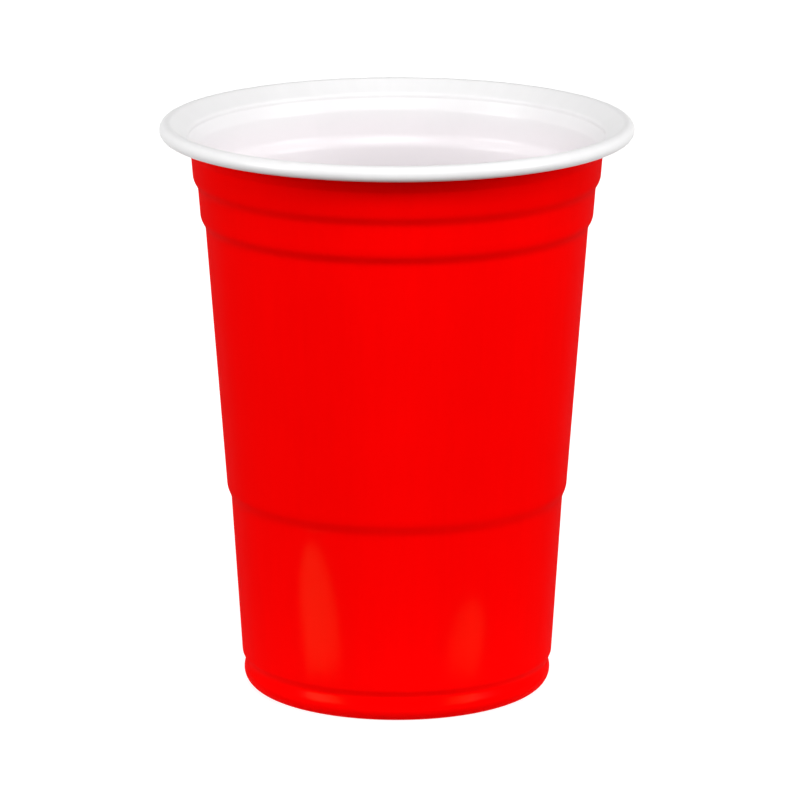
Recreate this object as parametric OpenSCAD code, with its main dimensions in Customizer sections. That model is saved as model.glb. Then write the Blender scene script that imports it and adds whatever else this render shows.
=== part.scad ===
// Plastic drinking cup, moulded in one piece from a two-colour sheet: a rounded foot with a raised
// base, a tapered wall that steps out three times on the way up, and a wide flared lip rolled over
// outwards. Millimetres. +Z runs up the cup's axis and the cup stands on z = 0.

/* [Cup] */
// Height from the resting ring to the top of the rolled lip
cup_h = 116.4; // [105:0.2:130]
// Diameter over the rolled lip
rim_d = 95; // [88:0.5:102]
// Diameter of the foot at its widest
foot_d = 62.3; // [56:0.1:66]

/* [Wall] */
// Thickness of the wall
wall_t = 0.4; // [0.3:0.05:0.6]
// Draft of the wall below the low step, in degrees
low_draft = 3.6; // [1:0.1:6]
// Height at which the low step begins
low_step_z = 39.6; // [20:0.1:60]
// Width of the low step
low_step_w = 0.8; // [0.4:0.05:1.2]
// Height that the ramp of the low step takes
low_ramp_h = 1.9; // [1.7:0.1:3.2]
// Radius on the tight side of the bends in the low step
low_step_r = 4; // [1:0.1:5]
// Drop from the lip's top to the lower edge of the ring band
ring_drop = 19.4; // [17:0.1:30]
// Drop from the lip's top to the lower edge of the neck band
neck_drop = 11.4; // [9:0.1:13]
// Draft of the ring band and the neck band, in degrees
ring_draft = 4.5; // [1:0.1:8]
// Width of the steps under the ring band and the neck band
ring_step_w = 0.95; // [0.5:0.05:1.2]
// Height that the ramp of each of those steps takes
ramp_h = 1.6; // [1.5:0.1:3]
// Radius on the tight side of the bends in those steps
step_r = 3; // [0.5:0.1:3.2]

/* [Foot and base] */
// Radius on the tight side of the foot's rounded edge
foot_r = 2.65; // [1.5:0.05:3.5]
// Upright stretch of the foot above its rounded edge
foot_flank = 0.1; // [0.05:0.05:0.8]
// Depth of the stacking groove above the foot
groove_w = 0.4; // [0.2:0.05:0.7]
// Height from the foot's widest point to the bottom of the groove
groove_h = 1.9; // [1.6:0.1:3]
// Width by which the wall above the groove stands out past the foot
shoulder_w = 0.35; // [0:0.05:0.6]
// Height from the bottom of the groove to the wall above it
shoulder_h = 1.35; // [1.2:0.05:2]
// Radius on the tight side of the bends round the groove
groove_r = 1.5; // [0.5:0.1:1.6]
// Thickness of the base
base_t = 0.5; // [0.3:0.05:0.8]
// Height of the base's underside above the resting plane
base_rise = 4; // [2.5:0.1:5]
// Width of the flat ring that the cup rests on
rest_w = 1.6; // [1:0.1:2.5]
// Width by which the kick-up leans in towards the base
kick_w = 1.2; // [0.6:0.1:2]
// Radius on the tight side of the bends in the kick-up
kick_r = 0.7; // [0.4:0.1:0.9]

/* [Lip] */
// Thickness of the flared and rolled lip
lip_t = 0.5; // [0.3:0.05:0.6]
// Width of the lip, from the lower edge of the neck band to the outermost point of the roll
lip_w = 6.7; // [5.8:0.1:8.5]
// Diameter of the roll
roll_d = 3.1; // [2.6:0.1:3.6]
// Turn of the roll from its outermost point, under itself, to its cut edge, in degrees
curl_under = 150; // [100:5:170]
// Drop from the lip's top to the end of the neck band
flare_drop = 6.3; // [5.6:0.1:6.8]
// Width that the neck flares by, below the riser
flare_w = 1.1; // [0.6:0.1:1.6]
// Height of that flare
flare_h = 2.7; // [2.2:0.1:2.9]
// Radius on the tight side of the bend where the neck begins to flare
flare_r = 1.8; // [0.5:0.1:2.2]
// Height of the upright riser between the flare and the flange
riser_h = 0.7; // [0.65:0.05:1]
// Radius on the tight side of the bends at the riser
lip_r = 0.5; // [0.3:0.05:0.6]

/* [Hidden] */
// Facets round the axis
$fn = 128;
// Bend that one facet of a curve covers, in degrees
bend_step = 12;
// Colour of the sheet's outer side
outer_colour = [0.92, 0.01, 0.02];

// Kick-up, resting ring, foot and groove
foot_x = foot_d / 2;
foot_edge = foot_r + max(wall_t, base_t);
kick_turn = atan2(base_rise, kick_w);
kick_x = foot_x - foot_edge - rest_w - (kick_r + base_t) * tan(kick_turn / 2);
foot_turn = atan2(groove_w, groove_h);
foot_z = foot_edge + foot_flank + (groove_r + wall_t) * tan(foot_turn / 2);
groove_z = foot_z + groove_h;
shoulder_x = foot_x + shoulder_w;
shoulder_z = groove_z + shoulder_h;

// Low step, reached from the foot
low_x = shoulder_x + (low_step_z - shoulder_z) * tan(low_draft);
waist_x = low_x + low_step_w;
waist_z = low_step_z + low_ramp_h;

// Neck band and ring band, reached from the lip
neck_x = rim_d / 2 - lip_w;
neck_z = cup_h - neck_drop;
ring_top_x = neck_x - ring_step_w;
ring_top_z = neck_z - ramp_h;
ring_z = cup_h - ring_drop;
ring_x = ring_top_x - (ring_top_z - ring_z) * tan(ring_draft);

// Flare and riser above the neck band
flare_z = cup_h - flare_drop;
flare_x = neck_x + (flare_z - neck_z) * tan(ring_draft);
riser_x = flare_x + flare_w;
riser_z = flare_z + flare_h;
riser_top = [riser_x, riser_z + riser_h];

// Roll: its centre, the radius of the hollow inside it, and the flange that runs on to it
roll_r = roll_d / 2;
hollow_r = roll_r - lip_t;
roll_mid = [rim_d / 2 - roll_r, cup_h - roll_r];
flange_run = roll_mid - riser_top;
flange_slope = atan2(flange_run.y, flange_run.x) + asin(hollow_r / norm(flange_run));
roll_start = flange_slope + 90;

// Outer side of the sheet from the middle of the base to the roll: [corner, radius on the tight side
// of its bend, thickness of the sheet from this corner to the next]
bends = [
    [[0, base_rise], 0, base_t],
    [[kick_x - kick_w, base_rise], kick_r, base_t],
    [[kick_x, 0], kick_r, base_t],
    [[foot_x, 0], foot_r, wall_t],
    [[foot_x, foot_z], groove_r, wall_t],
    [[foot_x - groove_w, groove_z], groove_r, wall_t],
    [[shoulder_x, shoulder_z], groove_r, wall_t],
    [[low_x, low_step_z], low_step_r, wall_t],
    [[waist_x, waist_z], low_step_r, wall_t],
    [[ring_x - ring_step_w, ring_z - ramp_h], step_r, wall_t],
    [[ring_x, ring_z], step_r, wall_t],
    [[ring_top_x, ring_top_z], step_r, wall_t],
    [[neck_x, neck_z], step_r, wall_t],
    [[flare_x, flare_z], flare_r, lip_t],
    [[riser_x, riser_z], lip_r, lip_t],
    [riser_top, lip_r, lip_t],
    [roll_mid + hollow_r * heading(roll_start), 0, lip_t],
];
last = len(bends) - 1;

// Unit vector at an angle
function heading(a) = [cos(a), sin(a)];

// Direction of the sheet from one corner to the next
function run(i) = bends[i + 1][0] - bends[i][0];
function angle(i) = atan2(run(i).y, run(i).x);

// Turn of the sheet at a corner, positive towards its inner side
function turn(i) = let (a = angle(i) - angle(i - 1)) a > 180 ? a - 360 : a < -180 ? a + 360 : a;

// Corner on one side of the sheet: side 0 is the outer side, side 1 the inner one, a thickness away
function moved(i, k, side) = bends[i][0] + side * bends[k][2] * heading(angle(k) + 90);
function corner(i, side) =
    i == 0 ? moved(i, i, side) :
    let (p = moved(i, i - 1, side), u = heading(angle(i - 1)), v = heading(angle(i)))
    p + u * cross(moved(i, i, side) - p, v) / cross(u, v);

// Points on an arc that starts at an angle and turns by another
function arc(mid, r, from, by) =
    let (n = ceil(abs(by) / bend_step))
    [for (k = [0 : n]) mid + r * heading(from + by * k / n)];

// Bend at a corner on one side of the sheet: the wide side's radius is larger by the thickness
function wide(i, side) = (turn(i) > 0) == (side == 0);
function bend(i, side) =
    let (
        r = bends[i][1] + (wide(i, side) ? max(bends[i - 1][2], bends[i][2]) : 0),
        quarter = sign(turn(i)) * 90,
        start = corner(i, side) - r * tan(abs(turn(i)) / 2) * heading(angle(i - 1)),
        mid = start + r * heading(angle(i - 1) + quarter)
    )
    arc(mid, r, angle(i - 1) - quarter, turn(i));

// One side of the sheet from the middle of the base to the cut edge of the roll
function side_of_sheet(side) = [
    corner(0, side),
    for (i = [1 : last - 1]) each bend(i, side),
    each arc(roll_mid, hollow_r + side * lip_t, roll_start, -roll_start - curl_under),
];

function reversed(points) = [for (i = [len(points) - 1 : -1 : 0]) points[i]];

module cup() {
    color(outer_colour)
        rotate_extrude()
            polygon(concat(side_of_sheet(0), reversed(side_of_sheet(1))));
}

cup();
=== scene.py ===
"""Plastic drinking cup formed in one piece from a two-colour sheet, set in a plain white studio.

The cup is a body of revolution: the section of the sheet, red on its outer side and white on its inner
side, is carried once round the +Z axis. Every length is in metres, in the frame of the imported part.
"""

import logging
import math
from dataclasses import dataclass, field
from enum import Enum

import bpy
import numpy as np
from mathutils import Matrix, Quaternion, Vector


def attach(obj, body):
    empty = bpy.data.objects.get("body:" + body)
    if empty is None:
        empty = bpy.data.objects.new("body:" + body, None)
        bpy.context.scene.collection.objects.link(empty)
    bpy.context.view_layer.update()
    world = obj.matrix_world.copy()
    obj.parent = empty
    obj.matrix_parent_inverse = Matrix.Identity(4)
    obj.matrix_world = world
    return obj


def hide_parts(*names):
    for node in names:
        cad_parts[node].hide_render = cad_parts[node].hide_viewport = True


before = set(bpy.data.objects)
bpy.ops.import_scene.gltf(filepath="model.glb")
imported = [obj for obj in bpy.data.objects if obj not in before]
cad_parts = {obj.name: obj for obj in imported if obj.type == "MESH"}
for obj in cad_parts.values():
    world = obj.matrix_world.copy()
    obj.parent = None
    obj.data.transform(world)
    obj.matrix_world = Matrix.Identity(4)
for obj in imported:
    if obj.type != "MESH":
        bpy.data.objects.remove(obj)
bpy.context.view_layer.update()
LOG = logging.getLogger("cup")

Array = np.ndarray
Colour = tuple[float, float, float]


class Side(Enum):
    """Side of the sheet; the value is the material slot that dresses it."""

    RED = 0
    WHITE = 1


class Ray(Enum):
    """Kinds of ray that see the studio as plain white; the value is the Light Path output."""

    CAMERA = "Is Camera Ray"
    GLOSSY = "Is Glossy Ray"
    TRANSMISSION = "Is Transmission Ray"


def heading(angle: Array | float) -> Array:
    """Unit vectors at angles in radians.

    Args:
        angle: one angle or an array of them.

    Returns:
        The vectors (cos, sin) on a new last axis.
    """
    return np.stack([np.cos(angle), np.sin(angle)], axis=-1)


def cross(a: Array, b: Array) -> Array:
    """Cross product of plane vectors, a.x * b.y - a.y * b.x.

    Args:
        a: first vectors.
        b: second vectors.

    Returns:
        The scalar products.
    """
    return a[..., 0] * b[..., 1] - a[..., 1] * b[..., 0]


@dataclass(frozen=True)
class NodeDesk:
    """Places and joins the nodes of one node tree.

    Attributes:
        tree: the tree that is filled.
    """

    tree: bpy.types.NodeTree

    def add(self, kind: str, **settings: object) -> bpy.types.Node:
        """Adds a node.

        Args:
            kind: the node's class name.
            settings: attributes of the node, set as they are given.

        Returns:
            The new node.
        """
        node = self.tree.nodes.new(kind)
        for name, value in settings.items():
            setattr(node, name, value)
        return node

    def join(self, source: bpy.types.NodeSocket, target: bpy.types.NodeSocket) -> None:
        """Links an output to an input.

        Args:
            source: the output.
            target: the input.
        """
        self.tree.links.new(source, target)

    def math(self, operation: str, *terms: bpy.types.NodeSocket | float) -> bpy.types.NodeSocket:
        """Adds a Math node.

        Args:
            operation: its operation.
            terms: outputs or numbers, in the order of its inputs.

        Returns:
            The node's result.
        """
        node = self.add("ShaderNodeMath", operation=operation)
        for place, term in zip(node.inputs, terms):
            if isinstance(term, bpy.types.NodeSocket):
                self.join(term, place)
            else:
                place.default_value = term
        return node.outputs[0]

    def vector(self, operation: str, *terms: bpy.types.NodeSocket | tuple | float) -> bpy.types.NodeSocket:
        """Adds a Vector Math node.

        Args:
            operation: its operation.
            terms: outputs, vectors or, for a scale, a number in the last place.

        Returns:
            The node's result.
        """
        node = self.add("ShaderNodeVectorMath", operation=operation)
        second = node.inputs["Scale" if operation == "SCALE" else 1]
        for place, term in zip((node.inputs[0], second), terms):
            if isinstance(term, bpy.types.NodeSocket):
                self.join(term, place)
            else:
                place.default_value = term
        return node.outputs["Value" if operation == "LENGTH" else "Vector"]

    def noise(
        self, place: bpy.types.NodeSocket, scale: float, detail: float, rough: float
    ) -> bpy.types.NodeSocket:
        """Adds a Noise Texture.

        Args:
            place: where the noise is read.
            scale: how many cells a metre holds.
            detail: number of finer layers.
            rough: weight of the finer layers.

        Returns:
            The noise, about 0 to 1.
        """
        node = self.add("ShaderNodeTexNoise")
        self.join(place, node.inputs["Vector"])
        node.inputs["Scale"].default_value = scale
        node.inputs["Detail"].default_value = detail
        node.inputs["Roughness"].default_value = rough
        return node.outputs["Fac"]

    def ramp(
        self, value: bpy.types.NodeSocket, low: float, high: float, to_low: float = 0.0, to_high: float = 1.0
    ) -> bpy.types.NodeSocket:
        """Adds a smooth Map Range.

        Args:
            value: what is mapped.
            low: value at which the result is to_low.
            high: value at which the result is to_high.
            to_low: result at low.
            to_high: result at high.

        Returns:
            The mapped value.
        """
        node = self.add("ShaderNodeMapRange", interpolation_type="SMOOTHSTEP")
        self.join(value, node.inputs["Value"])
        for name, number in (("From Min", low), ("From Max", high), ("To Min", to_low), ("To Max", to_high)):
            node.inputs[name].default_value = number
        return node.outputs["Result"]

    def blend(
        self,
        amount: bpy.types.NodeSocket,
        first: bpy.types.NodeSocket | Colour,
        second: bpy.types.NodeSocket | Colour,
    ) -> bpy.types.NodeSocket:
        """Adds a colour Mix.

        Args:
            amount: 0 for the first colour, 1 for the second.
            first: an output or a colour.
            second: an output or a colour.

        Returns:
            The mixed colour.
        """
        node = self.add("ShaderNodeMix", data_type="RGBA")
        self.join(amount, node.inputs[0])
        # The node has sockets for every data type; those of colours are inputs 6 and 7 and output 2.
        for place, colour in ((node.inputs[6], first), (node.inputs[7], second)):
            if isinstance(colour, bpy.types.NodeSocket):
                self.join(colour, place)
            else:
                place.default_value = (*colour, 1.0)
        return node.outputs[2]

    def upright(self, place: bpy.types.NodeSocket) -> bpy.types.NodeSocket:
        """Adds a Separate XYZ.

        Args:
            place: a place.

        Returns:
            Its height.
        """
        node = self.add("ShaderNodeSeparateXYZ")
        self.join(place, node.inputs["Vector"])
        return node.outputs["Z"]

    def white_rays(self) -> bpy.types.NodeSocket:
        """Tells the rays that see the studio as plain white from the rest.

        Returns:
            1 for those rays, 0 for the rest.
        """
        path = self.add("ShaderNodeLightPath")
        camera, glossy, transmission = (path.outputs[ray.value] for ray in Ray)
        return self.math("MAXIMUM", self.math("MAXIMUM", camera, glossy), transmission)


@dataclass(frozen=True)
class FormingMarks:
    """Marks that drawing the warm sheet over its mould leaves in both of its sides.

    Attributes:
        name: name of the node group.
        girth: radius in metres at which the marks have their true width.
        stretch: share of its length that a mark keeps along the cup's height, below 1 for long marks.
        streak_scale: cells in a metre of the streaks.
        wave_scale: cells in a metre of the wide waves.
        peel_scale: cells in a metre of the fine peel.
        streak_share: share of the streaks in tone and roughness; waves and peel have the rest.
        mid: middle of the marks, about which the roughness varies.
    """

    name: str = "forming_marks"
    girth: float = 0.038
    stretch: float = 0.12
    streak_scale: float = 420.0
    wave_scale: float = 70.0
    peel_scale: float = 1500.0
    streak_share: float = 0.6
    mid: float = 0.5

    def group(self) -> bpy.types.NodeTree:
        """Builds the node group once.

        The place is turned into (girth * x / r, girth * y / r, stretch * z), so that a noise read there
        runs up the wall as streaks; waves and peel are read at the plain place.

        Returns:
            The group, with the outputs Tone, Roughness and Height.
        """
        if self.name in bpy.data.node_groups:
            return bpy.data.node_groups[self.name]
        tree = bpy.data.node_groups.new(self.name, "ShaderNodeTree")
        for name, kind in (
            ("Place", "NodeSocketVector"),
            ("Roughness", "NodeSocketFloat"),
            ("Roughness Spread", "NodeSocketFloat"),
            ("Streak Height", "NodeSocketFloat"),
            ("Peel Height", "NodeSocketFloat"),
        ):
            tree.interface.new_socket(name, in_out="INPUT", socket_type=kind)
        for name in ("Tone", "Roughness", "Height"):
            tree.interface.new_socket(name, in_out="OUTPUT", socket_type="NodeSocketFloat")
        desk = NodeDesk(tree)
        given = desk.add("NodeGroupInput").outputs
        made = desk.add("NodeGroupOutput").inputs
        across = desk.vector("NORMALIZE", desk.vector("MULTIPLY", given["Place"], (1.0, 1.0, 0.0)))
        along = desk.vector("MULTIPLY", given["Place"], (0.0, 0.0, self.stretch))
        drawn = desk.vector("ADD", desk.vector("SCALE", across, self.girth), along)
        streaks = desk.noise(drawn, self.streak_scale, detail=3.0, rough=0.55)
        waves = desk.noise(given["Place"], self.wave_scale, detail=1.0, rough=0.4)
        peel = desk.noise(given["Place"], self.peel_scale, detail=2.0, rough=0.5)
        most = desk.math("MULTIPLY", streaks, self.streak_share)
        rest = 1.0 - self.streak_share
        desk.join(desk.math("MULTIPLY_ADD", waves, rest, most), made["Tone"])
        uneven = desk.math("SUBTRACT", desk.math("MULTIPLY_ADD", peel, rest, most), self.mid)
        rough = desk.math("MULTIPLY_ADD", uneven, given["Roughness Spread"], given["Roughness"])
        desk.join(rough, made["Roughness"])
        raised = desk.math("MULTIPLY_ADD", streaks, given["Streak Height"], waves)
        desk.join(desk.math("MULTIPLY_ADD", peel, given["Peel Height"], raised), made["Height"])
        return tree


@dataclass(frozen=True)
class SheetFinish:
    """Glossy plastic of one side of the sheet.

    Attributes:
        name: name of the material.
        deep: colour where the forming marks are darkest.
        clear: colour where they are lightest.
        roughness: middle roughness.
        spread: how far the roughness varies.
        gloss: Specular IOR Level.
        coat: weight of the clear skin that a hot mould wall leaves on the sheet.
        wave_m: height of the widest waves in the surface.
        streak_height: height of the streaks as a share of the waves.
        peel_height: height of the peel as a share of the waves.
        coat_rough: roughness of the clear skin.
        ior: index of refraction of the plastic.
        tones: marks at which the colour is deep and at which it is clear.
    """

    name: str
    deep: Colour
    clear: Colour
    roughness: float
    spread: float
    gloss: float
    coat: float
    wave_m: float = 0.00001
    streak_height: float = 0.18
    peel_height: float = 0.012
    coat_rough: float = 0.2
    ior: float = 1.5
    tones: tuple[float, float] = (0.3, 0.7)

    def material(self, marks: FormingMarks) -> bpy.types.Material:
        """Builds the material: the marks, the bump and the shader.

        Args:
            marks: the forming marks.

        Returns:
            The material.
        """
        material = bpy.data.materials.new(self.name)
        material.use_nodes = True
        material.node_tree.nodes.clear()
        desk = NodeDesk(material.node_tree)
        place = desk.add("ShaderNodeTexCoord").outputs["Object"]
        drawn = desk.add("ShaderNodeGroup", node_tree=marks.group())
        desk.join(place, drawn.inputs["Place"])
        drawn.inputs["Roughness"].default_value = self.roughness
        drawn.inputs["Roughness Spread"].default_value = self.spread
        drawn.inputs["Streak Height"].default_value = self.streak_height
        drawn.inputs["Peel Height"].default_value = self.peel_height
        bump = desk.add("ShaderNodeBump")
        bump.inputs["Strength"].default_value = 1.0
        bump.inputs["Distance"].default_value = self.wave_m
        desk.join(drawn.outputs["Height"], bump.inputs["Height"])
        shader = desk.add("ShaderNodeBsdfPrincipled")
        shader.inputs["IOR"].default_value = self.ior
        shader.inputs["Specular IOR Level"].default_value = self.gloss
        shader.inputs["Coat Weight"].default_value = self.coat
        shader.inputs["Coat Roughness"].default_value = self.coat_rough
        desk.join(self.colour(desk, place, drawn), shader.inputs["Base Color"])
        desk.join(self.dullness(desk, place, drawn), shader.inputs["Roughness"])
        desk.join(bump.outputs["Normal"], shader.inputs["Normal"])
        output = desk.add("ShaderNodeOutputMaterial")
        desk.join(shader.outputs["BSDF"], output.inputs["Surface"])
        return material

    def colour(
        self, desk: NodeDesk, place: bpy.types.NodeSocket, drawn: bpy.types.Node
    ) -> bpy.types.NodeSocket:
        """Colour of the sheet, from deep to clear with the forming marks.

        Args:
            desk: the material's node desk.
            place: the place on the cup.
            drawn: the marks node.

        Returns:
            The colour.
        """
        return desk.blend(desk.ramp(drawn.outputs["Tone"], *self.tones), self.deep, self.clear)

    def dullness(
        self, desk: NodeDesk, place: bpy.types.NodeSocket, drawn: bpy.types.Node
    ) -> bpy.types.NodeSocket:
        """Roughness of the sheet, which varies with the forming marks.

        Args:
            desk: the material's node desk.
            place: the place on the cup.
            drawn: the marks node.

        Returns:
            The roughness.
        """
        return drawn.outputs["Roughness"]


@dataclass(frozen=True)
class RedFinish(SheetFinish):
    """Outer side of the sheet, dulled a little where the cup stands.

    Attributes:
        scuff_m: height up to which the resting ring is dulled.
        scuff: roughness that is added there.
    """

    scuff_m: float = 0.0009
    scuff: float = 0.18

    def dullness(
        self, desk: NodeDesk, place: bpy.types.NodeSocket, drawn: bpy.types.Node
    ) -> bpy.types.NodeSocket:
        """Roughness of the sheet, higher on the resting ring.

        Args:
            desk: the material's node desk.
            place: the place on the cup.
            drawn: the marks node.

        Returns:
            The roughness.
        """
        worn = desk.ramp(desk.upright(place), 0.0, self.scuff_m, self.scuff, 0.0)
        return desk.math("ADD", super().dullness(desk, place, drawn), worn)


@dataclass(frozen=True)
class WhiteFinish(SheetFinish):
    """Inner side of the sheet: the white thins down the wall and the red behind it tints it pink; lower in
    the cup the colour is also painted lighter, a painted glow for light that the red wall lets in and painted
    fill for the shade inside the cup.

    Attributes:
        through: colour low in the cup: pink where the white is thinnest, and lighter than the white as a
            painted glow and painted fill light.
        thin_glow_z: height below which that painted colour is full.
        plain_white_z: height above which the plain white, darker than the painted colour, shows.
        waver: how far the marks move those heights up and down, all told.
    """

    through: Colour = (0.925, 0.881, 0.903)
    thin_glow_z: float = 0.1045
    plain_white_z: float = 0.114
    waver: float = 0.004

    def colour(
        self, desk: NodeDesk, place: bpy.types.NodeSocket, drawn: bpy.types.Node
    ) -> bpy.types.NodeSocket:
        """Colour of the sheet, which goes over to the through colour low in the cup: pink where the white
        thins, and painted lighter there as a painted glow and painted fill light.

        Args:
            desk: the material's node desk.
            place: the place on the cup.
            drawn: the marks node.

        Returns:
            The colour.
        """
        # Painted light: below the lip the white goes over to a lighter pink. This is a painted glow for light
        # that the red wall lets in and painted fill for the shade inside the cup. The better lit lip keeps
        # the darker plain white.
        uneven = desk.math("MULTIPLY_ADD", drawn.outputs["Tone"], self.waver, desk.upright(place))
        full = desk.ramp(uneven, self.thin_glow_z + self.waver / 2, self.plain_white_z + self.waver / 2)
        return desk.blend(full, self.through, super().colour(desk, place, drawn))


@dataclass(frozen=True)
class Section:
    """Closed section of the sheet, from the underside of the base round to its upper face.

    Attributes:
        points: radius and height of each point; the first and last lie on the axis.
        slots: material slot of the stretch from each point to the next.
        cut: index of the first of the two points at the roll's cut edge.
    """

    points: Array
    slots: Array
    cut: int


@dataclass
class CupSheet:
    """The cup: one formed sheet with a raised base, a stepped wall and a hollow rolled lip.

    The fields are the sheet's lengths in metres and its angles in degrees, then the fineness of the mesh
    and the free edge of its unrolled map. Corners lie on the outer side of the sheet, and each is rounded
    on both sides of it.
    """

    height: float = 0.1164
    rim_d: float = 0.095
    foot_d: float = 0.0623
    wall_t: float = 0.0004
    low_draft: float = 3.6
    low_step_z: float = 0.0396
    low_step_w: float = 0.0008
    low_ramp_h: float = 0.0019
    low_step_r: float = 0.004
    ring_drop: float = 0.0194
    neck_drop: float = 0.0114
    ring_draft: float = 4.5
    ring_step_w: float = 0.00095
    ramp_h: float = 0.0016
    step_r: float = 0.003
    foot_r: float = 0.00265
    foot_flank: float = 0.0001
    groove_w: float = 0.0004
    groove_h: float = 0.0019
    shoulder_w: float = 0.00035
    shoulder_h: float = 0.00135
    groove_r: float = 0.0015
    base_t: float = 0.0005
    base_rise: float = 0.004
    rest_w: float = 0.0016
    kick_w: float = 0.0012
    kick_r: float = 0.0007
    lip_t: float = 0.0005
    lip_w: float = 0.0067
    roll_d: float = 0.0031
    curl_under: float = 150.0
    flare_drop: float = 0.0063
    flare_w: float = 0.0011
    flare_h: float = 0.0027
    flare_r: float = 0.0018
    riser_h: float = 0.0007
    lip_r: float = 0.0005
    segments: int = 168
    arc_step: float = 6.0
    run_step: float = 0.003
    map_edge: float = 0.01
    name: str = "cup_sheet"
    finishes: dict[Side, SheetFinish] = field(default_factory=dict)

    def foot_line(self) -> list[tuple[float, float, float, float]]:
        """Corners of the base, foot, groove and lower wall.

        Returns:
            Radius, height, tight bend radius and sheet thickness onwards of each corner.
        """
        foot_x = self.foot_d / 2
        foot_edge = self.foot_r + max(self.wall_t, self.base_t)
        kick_turn = math.atan2(self.base_rise, self.kick_w)
        kick_x = foot_x - foot_edge - self.rest_w - (self.kick_r + self.base_t) * math.tan(kick_turn / 2)
        foot_turn = math.atan2(self.groove_w, self.groove_h)
        foot_z = foot_edge + self.foot_flank + (self.groove_r + self.wall_t) * math.tan(foot_turn / 2)
        groove_z = foot_z + self.groove_h
        shoulder_x = foot_x + self.shoulder_w
        shoulder_z = groove_z + self.shoulder_h
        low_x = shoulder_x + (self.low_step_z - shoulder_z) * math.tan(math.radians(self.low_draft))
        return [
            (0.0, self.base_rise, 0.0, self.base_t),
            (kick_x - self.kick_w, self.base_rise, self.kick_r, self.base_t),
            (kick_x, 0.0, self.kick_r, self.base_t),
            (foot_x, 0.0, self.foot_r, self.wall_t),
            (foot_x, foot_z, self.groove_r, self.wall_t),
            (foot_x - self.groove_w, groove_z, self.groove_r, self.wall_t),
            (shoulder_x, shoulder_z, self.groove_r, self.wall_t),
            (low_x, self.low_step_z, self.low_step_r, self.wall_t),
            (low_x + self.low_step_w, self.low_step_z + self.low_ramp_h, self.low_step_r, self.wall_t),
        ]

    def neck_line(self) -> list[tuple[float, float, float, float]]:
        """Corners of the ring band, neck band, flare and riser.

        Returns:
            Radius, height, tight bend radius and sheet thickness onwards of each corner.
        """
        slope = math.tan(math.radians(self.ring_draft))
        neck_x = self.rim_d / 2 - self.lip_w
        neck_z = self.height - self.neck_drop
        top_x = neck_x - self.ring_step_w
        top_z = neck_z - self.ramp_h
        ring_z = self.height - self.ring_drop
        ring_x = top_x - (top_z - ring_z) * slope
        flare_z = self.height - self.flare_drop
        flare_x = neck_x + (flare_z - neck_z) * slope
        riser_x = flare_x + self.flare_w
        riser_z = flare_z + self.flare_h
        return [
            (ring_x - self.ring_step_w, ring_z - self.ramp_h, self.step_r, self.wall_t),
            (ring_x, ring_z, self.step_r, self.wall_t),
            (top_x, top_z, self.step_r, self.wall_t),
            (neck_x, neck_z, self.step_r, self.wall_t),
            (flare_x, flare_z, self.flare_r, self.lip_t),
            (riser_x, riser_z, self.lip_r, self.lip_t),
            (riser_x, riser_z + self.riser_h, self.lip_r, self.lip_t),
        ]

    def roll(self, from_x: float, from_z: float) -> tuple[Array, float, float]:
        """Roll of the lip: the flange runs on to it as a tangent of the hollow inside.

        Args:
            from_x: radius of the corner that the flange starts from.
            from_z: height of that corner.

        Returns:
            The roll's middle, the hollow's radius and the angle at which the flange meets it.
        """
        outer = self.roll_d / 2
        hollow = outer - self.lip_t
        middle = np.array([self.rim_d / 2 - outer, self.height - outer])
        run = middle - (from_x, from_z)
        return middle, hollow, math.atan2(run[1], run[0]) + math.asin(hollow / math.hypot(*run)) + math.pi / 2

    def side_line(self, side: Side) -> Array:
        """One side of the sheet, from the middle of the base to the cut edge of the roll.

        Each stretch between corners moves sideways by the sheet's thickness on the inner side. Where two
        moved stretches cross, the corner is rounded by an arc that touches both; the arc on the wide side
        of a bend has the tight radius plus the thickness. Straight stretches are divided by
        (1 - cos(pi t)) / 2, so that the cells are short beside an arc.

        Args:
            side: the side that is followed.

        Returns:
            Radius and height of each point.
        """
        table = np.array(self.foot_line() + self.neck_line())
        middle, hollow, start = self.roll(*table[-1, :2])
        corners = np.vstack([table[:, :2], middle + hollow * heading(start)])
        tight, sheet = table[1:, 2], table[:, 3]
        runs = np.diff(corners, axis=0)
        unit = runs / np.linalg.norm(runs, axis=1, keepdims=True)
        normal = np.stack([-unit[:, 1], unit[:, 0]], axis=1)
        shift = normal * sheet[:, None] * side.value
        before = corners[1:-1] + shift[:-1]
        after = corners[1:-1] + shift[1:]
        turn = np.arctan2(cross(unit[:-1], unit[1:]), (unit[:-1] * unit[1:]).sum(axis=1))
        meet = before + unit[:-1] * (cross(after - before, unit[1:]) / np.sin(turn))[:, None]
        wide = (turn > 0) == (side is Side.RED)
        radius = tight + np.where(wide, np.maximum(sheet[:-1], sheet[1:]), 0.0)
        starts = meet - unit[:-1] * (radius * np.tan(np.abs(turn) / 2))[:, None]
        centres = starts + normal[:-1] * (radius * np.sign(turn))[:, None]
        angle = np.arctan2(starts[:, 1] - centres[:, 1], starts[:, 0] - centres[:, 0])
        arcs = [self.arc(*bend) for bend in zip(centres, radius, angle, turn)]
        curl = hollow + self.lip_t * side.value
        arcs.append(self.arc(middle, curl, start, -start - math.radians(self.curl_under)))
        line = [corners[:1] + shift[:1]]
        for arc in arcs:
            line += [self.between(line[-1][-1], arc[0]), arc]
        return np.vstack(line)

    def arc(self, middle: Array, radius: float, start: float, turn: float) -> Array:
        """Points middle + radius * (cos, sin) of angles from start to start + turn.

        Args:
            middle: centre of the arc.
            radius: its radius.
            start: its first angle in radians.
            turn: how far it turns, negative for clockwise.

        Returns:
            The points, both ends among them.
        """
        count = max(2, math.ceil(abs(math.degrees(turn)) / self.arc_step)) + 1
        return middle + radius * heading(np.linspace(start, start + turn, count))

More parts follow.
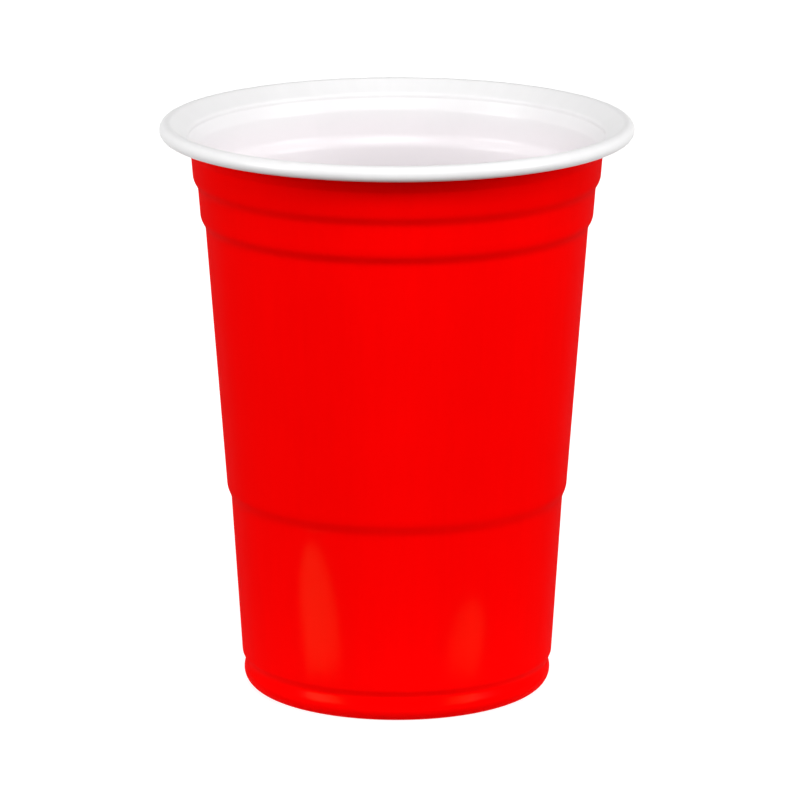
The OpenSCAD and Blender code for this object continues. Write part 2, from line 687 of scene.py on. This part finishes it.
    def between(self, first: Array, last: Array) -> Array:
        """Points inside a straight stretch, closer together at its ends.

        Args:
            first: one end, which isn't repeated.
            last: the other end, which isn't repeated.

        Returns:
            The points between them.
        """
        count = math.ceil(float(np.linalg.norm(last - first)) / self.run_step) + 1
        share = (1 - np.cos(np.pi * np.arange(1, count) / count)) / 2
        return first + share[:, None] * (last - first)

    def section(self) -> Section:
        """Closed section: the outer side from the axis to the cut edge, then the inner side back.

        Returns:
            The section.
        """
        red = self.side_line(Side.RED)
        white = self.side_line(Side.WHITE)[::-1]
        slots = np.full(len(red) + len(white) - 1, Side.WHITE.value)
        slots[: len(red)] = Side.RED.value
        return Section(np.vstack([red, white]), slots, len(red) - 1)

    def surface(self, section: Section) -> tuple[Array, Array, Array]:
        """Surface P(u, v) = (r(v) cos u, r(v) sin u, z(v)) of the section carried once round the axis.

        Args:
            section: the closed section, whose ends lie on the axis.

        Returns:
            Places of the vertices, quads between the rings, and triangles round the two poles.
        """
        count = self.segments
        rings = section.points[1:-1]
        turn = heading(2 * np.pi * np.arange(count) / count)
        places = np.empty((len(rings), count, 3))
        places[..., :2] = rings[:, None, :1] * turn[None]
        places[..., 2] = rings[:, 1:]
        poles = np.array([[0.0, 0.0, section.points[0, 1]], [0.0, 0.0, section.points[-1, 1]]])
        index = np.arange(len(rings) * count).reshape(len(rings), count)
        right = np.roll(index, -1, axis=1)
        quads = np.stack([index[:-1], right[:-1], right[1:], index[1:]], axis=-1).reshape(-1, 4)
        low, high = index.size, index.size + 1
        fans = np.vstack(
            [
                np.stack([np.full(count, low), right[0], index[0]], axis=-1),
                np.stack([index[-1], right[-1], np.full(count, high)], axis=-1),
            ]
        )
        return np.vstack([places.reshape(-1, 3), poles]), quads, fans

    def unrolled(self, section: Section) -> tuple[Array, Array]:
        """Unrolled map: u runs once round the cup, v along the section by its length.

        Args:
            section: the closed section.

        Returns:
            Map places of the quads' corners and of the triangles' corners.
        """
        count = self.segments
        steps = np.linalg.norm(np.diff(section.points, axis=0), axis=1)
        length = np.concatenate([[0.0], np.cumsum(steps)])
        span = 1.0 - 2.0 * self.map_edge
        v = self.map_edge + span * length / length[-1]
        u = self.map_edge + span * np.arange(count + 1) / count
        grid = np.stack(np.broadcast_arrays(u[None, :], v[1:-1, None]), axis=-1)
        quads = np.stack([grid[:-1, :-1], grid[:-1, 1:], grid[1:, 1:], grid[1:, :-1]], axis=2).reshape(-1, 2)
        middle = (u[:-1] + u[1:]) / 2
        tip = np.stack([middle, np.full(count, v[0])], axis=-1)
        top = np.stack([middle, np.full(count, v[-1])], axis=-1)
        fans = np.vstack(
            [
                np.stack([tip, grid[0, 1:], grid[0, :-1]], axis=1).reshape(-1, 2),
                np.stack([grid[-1, :-1], grid[-1, 1:], top], axis=1).reshape(-1, 2),
            ]
        )
        return quads, fans

    def build(self) -> bpy.types.Object:
        """Builds the mesh with its map, its material slots and a sharp cut edge.

        Returns:
            The cup's object, at the origin.
        """
        section = self.section()
        places, quads, fans = self.surface(section)
        mesh = bpy.data.meshes.new(self.name)
        mesh.from_pydata(places.tolist(), [], quads.tolist() + fans.tolist())
        slots = np.concatenate(
            [
                np.repeat(section.slots[1:-1], self.segments),
                np.repeat(section.slots[[0, -1]], self.segments),
            ]
        )
        mesh.polygons.foreach_set("use_smooth", np.ones(len(slots), bool))
        mesh.polygons.foreach_set("material_index", slots.astype(np.int32))
        unrolled = mesh.uv_layers.new(name="OFBake")
        unrolled.uv.foreach_set("vector", np.vstack(self.unrolled(section)).astype(np.float32).ravel())
        ends = np.empty(2 * len(mesh.edges), np.int32)
        mesh.edges.foreach_get("vertices", ends)
        ring = ends.reshape(-1, 2) // self.segments + 1
        sharp = (ring[:, 0] == ring[:, 1]) & np.isin(ring[:, 0], (section.cut, section.cut + 1))
        mesh.attributes.new("sharp_edge", "BOOLEAN", "EDGE").data.foreach_set("value", sharp)
        mesh.validate()
        mesh.update()
        cup = bpy.data.objects.new(self.name, mesh)
        bpy.context.scene.collection.objects.link(cup)
        return cup

    def dress(self, cup: bpy.types.Object, marks: FormingMarks) -> None:
        """Puts each side's finish in its material slot.

        Args:
            cup: the cup's object.
            marks: the forming marks that both sides carry.
        """
        for side in Side:
            cup.data.materials.append(self.finishes[side].material(marks))


@dataclass(frozen=True)
class SoftBox:
    """Large soft lamp aimed at the cup.

    Attributes:
        name: name of the lamp.
        azimuth: degrees round the cup from the camera's side, positive to its right.
        elevation: degrees above the floor.
        width: width of its face.
        tall: height of its face.
        power: watts.
        mirrored: whether gloss shows it.
        distance: metres from the aim.
    """

    name: str
    azimuth: float
    elevation: float
    width: float
    tall: float
    power: float
    mirrored: bool = True
    distance: float = 1.2

    def build(self, aim: Vector) -> bpy.types.Object:
        """Builds the lamp.

        Args:
            aim: the point that it faces.

        Returns:
            The lamp's object.
        """
        lamp = bpy.data.lights.new(self.name, "AREA")
        lamp.shape = "RECTANGLE"
        lamp.size, lamp.size_y, lamp.energy = self.width, self.tall, self.power
        box = bpy.data.objects.new(self.name, lamp)
        around, up = math.radians(self.azimuth), math.radians(self.elevation)
        away = Vector((math.sin(around) * math.cos(up), -math.cos(around) * math.cos(up), math.sin(up)))
        box.location = aim + self.distance * away
        box.rotation_euler = (-away).to_track_quat("-Z", "Y").to_euler()
        box.visible_glossy = self.mirrored
        bpy.context.scene.collection.objects.link(box)
        return box


@dataclass(frozen=True)
class GlossCard:
    """Small upright lamp beside the cup, which shows only in the gloss low on its wall.

    Attributes:
        name: name of the lamp.
        place: place of its middle.
        azimuth: degrees round the cup from the camera's side to the direction that it faces away from.
        lean: degrees that it leans to its side.
        width: width of its face.
        tall: height of its face.
        power: watts.
        spread: degrees over which its light spreads.
        colour: colour of its light, warm as if thrown back by a wooden table.
    """

    name: str
    place: tuple[float, float, float]
    azimuth: float
    lean: float
    width: float
    tall: float
    power: float
    spread: float = 80.0
    colour: Colour = (1.0, 0.9, 0.25)

    def build(self) -> bpy.types.Object:
        """Builds the lamp.

        Returns:
            The lamp's object.
        """
        lamp = bpy.data.lights.new(self.name, "AREA")
        lamp.shape = "ELLIPSE"
        lamp.size, lamp.size_y, lamp.energy = self.width, self.tall, self.power
        lamp.spread, lamp.color = math.radians(self.spread), self.colour
        card = bpy.data.objects.new(self.name, lamp)
        card.location = self.place
        around = math.radians(self.azimuth)
        facing = Vector((-math.sin(around), math.cos(around), 0.0)).to_track_quat("-Z", "Y")
        card.rotation_euler = (facing @ Quaternion((0.0, 0.0, 1.0), math.radians(self.lean))).to_euler()
        card.visible_camera = card.visible_diffuse = card.visible_transmission = False
        bpy.context.scene.collection.objects.link(card)
        return card


@dataclass
class Studio:
    """Plain white studio: floor, soft lamps, pale surroundings and the camera.

    Attributes:
        boxes: the soft lamps.
        cards: the small lamps beside the cup.
        ambient: strength of the surroundings as light.
        lamp_aim: point that the soft lamps face.
        floor_half: half the floor's side.
        floor_lines: lines of the floor's grid each way.
        floor_gap: gap between the floor and the resting ring, so that their faces don't mix.
        floor_bounce: colour of the floor as it lights the cup from below.
        card_bounce: colour of the pale card that lies under the cup and lights its foot.
        card_r: radius of that card.
        card_edge: shares of that radius between which its edge fades.
        under_glow: light that comes up through the floor under the cup.
        under_r: radius of that light.
        under_edge: share of that radius at which the light begins to fade.
        floor_glow: white that the floor shows where no light reaches it.
        floor_shade: how strongly light and shadow show on the floor.
        eye: place of the camera.
        aim: point that the camera looks at.
        sensor: width of the sensor in millimetres.
        lens: focal length in millimetres.
        sight: nearest and farthest distance that the camera sees.
    """

    boxes: list[SoftBox]
    cards: list[GlossCard]
    ambient: float = 0.16
    lamp_aim: Vector = field(default_factory=lambda: Vector((0.0, 0.0, 0.058)))
    floor_half: float = 4.0
    floor_lines: int = 5
    floor_gap: float = 0.00005
    floor_bounce: float = 0.07
    card_bounce: float = 0.42
    card_r: float = 0.065
    card_edge: tuple[float, float] = (0.7, 1.3)
    under_glow: float = 0.3
    under_r: float = 0.033
    under_edge: float = 0.85
    floor_glow: float = 0.85
    floor_shade: float = 0.45
    eye: Vector = field(default_factory=lambda: Vector((0.00063, -1.1161, 0.3361)))
    aim: Vector = field(default_factory=lambda: Vector((0.00063, 0.0, 0.0588)))
    sensor: float = 36.0
    lens: float = 256.05
    sight: tuple[float, float] = (0.05, 30.0)

    def build(self) -> None:
        """Builds the floor, the lamps, the surroundings and the camera."""
        self.floor()
        for box in self.boxes:
            LOG.info("lamp %s", box.build(self.lamp_aim).name)
        for card in self.cards:
            LOG.info("lamp %s", card.build().name)
        self.surroundings()
        self.camera()
        bpy.context.scene.view_settings.view_transform = "Standard"

    def floor(self) -> bpy.types.Object:
        """Flat square floor, the grid (x, y, -gap) just under the resting ring.

        Returns:
            The floor's object.
        """
        line = np.linspace(-self.floor_half, self.floor_half, self.floor_lines)
        x, y = np.meshgrid(line, line)
        places = np.stack([x.ravel(), y.ravel(), np.full(x.size, -self.floor_gap)], axis=-1)
        index = np.arange(x.size).reshape(x.shape)
        cells = [index[:-1, :-1], index[:-1, 1:], index[1:, 1:], index[1:, :-1]]
        quads = np.stack(cells, axis=-1).reshape(-1, 4)
        mesh = bpy.data.meshes.new("studio_floor")
        mesh.from_pydata(places.tolist(), [], quads.tolist())
        mesh.materials.append(self.floor_finish())
        floor = bpy.data.objects.new("studio_floor", mesh)
        bpy.context.scene.collection.objects.link(floor)
        return floor

    def floor_finish(self) -> bpy.types.Material:
        """White floor for the eye and in reflections, which keeps the soft shadow and is clear from below.

        Returns:
            The floor's material.
        """
        material = bpy.data.materials.new("studio_floor")
        material.use_nodes = True
        material.node_tree.nodes.clear()
        desk = NodeDesk(material.node_tree)
        bounce = desk.add("ShaderNodeBsdfDiffuse")
        away = desk.vector("LENGTH", desk.add("ShaderNodeTexCoord").outputs["Object"])
        off_card = desk.ramp(away, *(share * self.card_r for share in self.card_edge))
        desk.join(
            desk.blend(off_card, (self.card_bounce,) * 3, (self.floor_bounce,) * 3),
            bounce.inputs["Color"],
        )
        under = desk.add("ShaderNodeEmission")
        fade = self.under_edge * self.under_r
        desk.join(desk.ramp(away, fade, self.under_r, self.under_glow, 0.0), under.inputs["Strength"])
        lit = desk.add("ShaderNodeAddShader")
        desk.join(bounce.outputs[0], lit.inputs[0])
        desk.join(under.outputs[0], lit.inputs[1])
        shade = desk.add("ShaderNodeBsdfDiffuse")
        shade.inputs["Color"].default_value = (*[self.floor_shade] * 3, 1.0)
        glow = desk.add("ShaderNodeEmission")
        glow.inputs["Strength"].default_value = self.floor_glow
        white = desk.add("ShaderNodeAddShader")
        desk.join(shade.outputs[0], white.inputs[0])
        desk.join(glow.outputs[0], white.inputs[1])
        seen = desk.add("ShaderNodeMixShader")
        desk.join(desk.white_rays(), seen.inputs[0])
        desk.join(lit.outputs[0], seen.inputs[1])
        desk.join(white.outputs[0], seen.inputs[2])
        clear = desk.add("ShaderNodeBsdfTransparent")
        faced = desk.add("ShaderNodeMixShader")
        desk.join(desk.add("ShaderNodeNewGeometry").outputs["Backfacing"], faced.inputs[0])
        desk.join(seen.outputs[0], faced.inputs[1])
        desk.join(clear.outputs[0], faced.inputs[2])
        output = desk.add("ShaderNodeOutputMaterial")
        desk.join(faced.outputs[0], output.inputs["Surface"])
        return material

    def surroundings(self) -> None:
        """White surroundings for the eye and in reflections, dimmer as light."""
        world = bpy.data.worlds.new("studio")
        bpy.context.scene.world = world
        world.use_nodes = True
        world.node_tree.nodes.clear()
        desk = NodeDesk(world.node_tree)
        light = desk.add("ShaderNodeBackground")
        light.inputs["Color"].default_value = (1.0, 1.0, 1.0, 1.0)
        light.inputs["Strength"].default_value = self.ambient
        white = desk.add("ShaderNodeBackground")
        white.inputs["Color"].default_value = (1.0, 1.0, 1.0, 1.0)
        white.inputs["Strength"].default_value = 1.0
        seen = desk.add("ShaderNodeMixShader")
        desk.join(desk.white_rays(), seen.inputs[0])
        desk.join(light.outputs[0], seen.inputs[1])
        desk.join(white.outputs[0], seen.inputs[2])
        output = desk.add("ShaderNodeOutputWorld")
        desk.join(seen.outputs[0], output.inputs["Surface"])

    def camera(self) -> None:
        """Camera at the photograph's angle, looking down at the cup from in front."""
        data = bpy.data.cameras.new("camera")
        data.sensor_width = self.sensor
        data.lens = self.lens
        data.clip_start, data.clip_end = self.sight
        camera = bpy.data.objects.new("camera", data)
        camera.location = self.eye
        camera.rotation_euler = (self.aim - self.eye).to_track_quat("-Z", "Y").to_euler()
        bpy.context.scene.collection.objects.link(camera)
        bpy.context.scene.camera = camera


RED = RedFinish(
    "red_sheet",
    deep=(0.965, 0.0, 0.0),
    clear=(0.985, 0.0, 0.0),
    roughness=0.3,
    spread=0.08,
    gloss=0.0,
    coat=0.025,
)
WHITE = WhiteFinish(
    "white_sheet",
    deep=(0.82, 0.815, 0.818),
    clear=(0.84, 0.835, 0.839),
    roughness=0.3,
    spread=0.1,
    gloss=0.3,
    coat=0.0,
)
LAMPS = [
    SoftBox("front_box", azimuth=8.0, elevation=46.0, width=0.7, tall=0.5, power=7.6),
    SoftBox("right_box", azimuth=63.0, elevation=14.0, width=0.5, tall=0.6, power=9.5),
    SoftBox("left_box", azimuth=-63.0, elevation=14.0, width=0.5, tall=0.6, power=9.5),
    SoftBox("back_box", azimuth=180.0, elevation=4.0, width=0.9, tall=0.25, power=5.5, mirrored=False),
]
CARDS = [
    GlossCard(
        "right_card",
        place=(0.032, -0.0445, 0.005),
        azimuth=60.0,
        lean=-42.0,
        width=0.016,
        tall=0.026,
        power=0.0022,
    ),
    GlossCard(
        "left_card",
        place=(-0.0358, -0.0416, 0.007),
        azimuth=-60.0,
        lean=12.0,
        width=0.02,
        tall=0.042,
        power=0.0065,
    ),
]


def main() -> None:
    """Builds the cup and dresses it, then sets the studio round it."""
    logging.basicConfig(level=logging.INFO, format="%(name)s: %(message)s")
    sheet = CupSheet(finishes={Side.RED: RED, Side.WHITE: WHITE})
    cup = sheet.build()
    sheet.dress(cup, FormingMarks())
    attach(cup, "root")
    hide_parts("cup")
    LOG.info("piece %s: %d vertices, %d faces", cup.name, len(cup.data.vertices), len(cup.data.polygons))
    Studio(LAMPS, CARDS).build()


if __name__ == "__main__":
    main()
